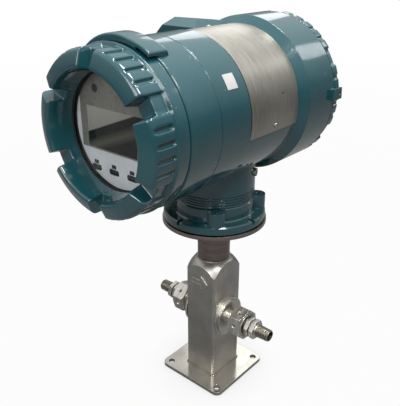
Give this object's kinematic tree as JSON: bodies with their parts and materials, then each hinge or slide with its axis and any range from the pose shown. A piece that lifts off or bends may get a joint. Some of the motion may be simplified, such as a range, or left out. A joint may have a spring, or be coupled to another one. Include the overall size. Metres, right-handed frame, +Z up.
{
  "type": "magnetic flow meter",
  "caption": "Small-bore magnetic flow meter: upright square steel sensor casing with union fittings and base plate, and a painted barrel transmitter with screwed covers and a display.",
  "frame": {"origin": "middle of the base plate's underside", "axes": "+Z up the neck; the flow axis runs along X; the barrel's axis runs along Y and its display faces -Y"},
  "size_m": [0.1737, 0.2613, 0.389],
  "materials": {
    "paint": "gloss blue-green enamel over cast aluminium",
    "satin_steel": "bead-blasted and pickled stainless steel",
    "turned_steel": "turned stainless steel",
    "pipe_steel": "drawn stainless pipe",
    "plate_steel": "brushed stainless sheet",
    "bolt_steel": "plain stainless bolt",
    "magnet_steel": "dull soft iron",
    "bright_metal": "polished",
    "seal_rubber": "matt black",
    "winding": "varnished copper wire",
    "liner_resin": "white fluoropolymer",
    "cable_sheath": "grey sheath",
    "board_resin": "green circuit board",
    "case_resin": "black moulding",
    "panel_resin": "silver-grey printed film",
    "frame_resin": "warm grey moulding round the screen",
    "screen_cell": "dark unlit liquid crystal cell",
    "key_resin": "black infrared window",
    "window_glass": "clear toughened glass",
    "terminal_resin": "black moulding",
    "label_film": "plain white film"
  },
  "bodies": {
    "sensor": {"base_plate": "satin_steel", "sensor_casing": "satin_steel", "neck_pipe": "pipe_steel", "neck_disc": "plate_steel", "flange_gasket": "seal_rubber", "neck_flange": "paint", "neck_seal": "seal_rubber", "flange_bolts": "paint", "measuring_tube": "turned_steel", "tube_liner": "liner_resin", "electrodes": "bright_metal", "upper_core": "magnet_steel", "upper_coil": "winding", "lower_core": "magnet_steel", "lower_coil": "winding", "coil_yoke": "magnet_steel", "sensor_board": "board_resin", "signal_cable": "cable_sheath", "cable_seal": "seal_rubber", "right_side_disc": "turned_steel", "left_side_disc": "turned_steel", "right_connector_seal": "seal_rubber", "left_connector_seal": "seal_rubber", "right_connector": "turned_steel", "left_connector": "turned_steel"},
    "head": {"housing": "paint", "nameplate": "plate_steel", "nameplate_rivets": "bolt_steel", "label": "label_film", "front_lock_screw": "bolt_steel", "rear_lock_screw": "bolt_steel", "neck_lock_screw": "bolt_steel", "entry_plug": "bright_metal", "entry_plug_seal": "seal_rubber", "display_panel": "panel_resin", "screen_frame": "frame_resin", "display_case": "case_resin", "display_screen": "screen_cell", "key_windows": "key_resin", "display_board": "board_resin", "signal_board": "board_resin", "power_board": "board_resin", "board_posts": "bright_metal", "power_transformer": "magnet_steel", "capacitors": "case_resin", "terminal_block": "terminal_resin", "terminal_screws": "bright_metal"},
    "front_ring": {"front_cover_seal": "seal_rubber"},
    "front_cover": {"front_cover": "paint", "window_gasket": "seal_rubber", "window_glass": "window_glass", "window_ring": "case_resin"},
    "rear_ring": {"rear_cover_seal": "seal_rubber"},
    "rear_cover": {"rear_cover": "paint"},
    "right_washer": {"right_thrust_washer": "turned_steel"},
    "right_nut": {"right_union_nut": "turned_steel"},
    "left_washer": {"left_thrust_washer": "turned_steel"},
    "left_nut": {"left_union_nut": "turned_steel"}
  },
  "joints": [
    {"name": "neck_turn", "type": "hinge", "parent": "sensor", "child": "head", "pos_m": [0, 0, 0.235], "axis": [0, 0, 1], "range_deg": [-170, 170]},
    {"name": "front_cover_travel", "type": "slide", "parent": "head", "child": "front_ring", "axis": [0, -1, 0], "range_m": [0, 0.0131]},
    {"name": "front_cover_turn", "type": "hinge", "parent": "front_ring", "child": "front_cover", "pos_m": [0, -0.12, 0.312], "axis": [0, -1, 0], "range_deg": [0, 2340]},
    {"name": "rear_cover_travel", "type": "slide", "parent": "head", "child": "rear_ring", "axis": [0, 1, 0], "range_m": [0, 0.0131]},
    {"name": "rear_cover_turn", "type": "hinge", "parent": "rear_ring", "child": "rear_cover", "pos_m": [0, 0.095, 0.312], "axis": [0, 1, 0], "range_deg": [0, 2340]},
    {"name": "right_nut_travel", "type": "slide", "parent": "sensor", "child": "right_washer", "axis": [-1, 0, 0], "range_m": [0, 0.00755]},
    {"name": "right_nut_turn", "type": "hinge", "parent": "right_washer", "child": "right_nut", "pos_m": [0.04, 0, 0.0753], "axis": [-1, 0, 0], "range_deg": [0, 1800]},
    {"name": "left_nut_travel", "type": "slide", "parent": "sensor", "child": "left_washer", "axis": [1, 0, 0], "range_m": [0, 0.00755]},
    {"name": "left_nut_turn", "type": "hinge", "parent": "left_washer", "child": "left_nut", "pos_m": [-0.04, 0, 0.0753], "axis": [1, 0, 0], "range_deg": [0, 1800]}
  ],
  "couplings": [
    {"joint": "front_cover_travel", "follows": "front_cover_turn", "m_per_rad": 0.00031831},
    {"joint": "rear_cover_travel", "follows": "rear_cover_turn", "m_per_rad": 0.00031831},
    {"joint": "right_nut_travel", "follows": "right_nut_turn", "m_per_rad": 0.00023873},
    {"joint": "left_nut_travel", "follows": "left_nut_turn", "m_per_rad": 0.00023873}
  ]
}
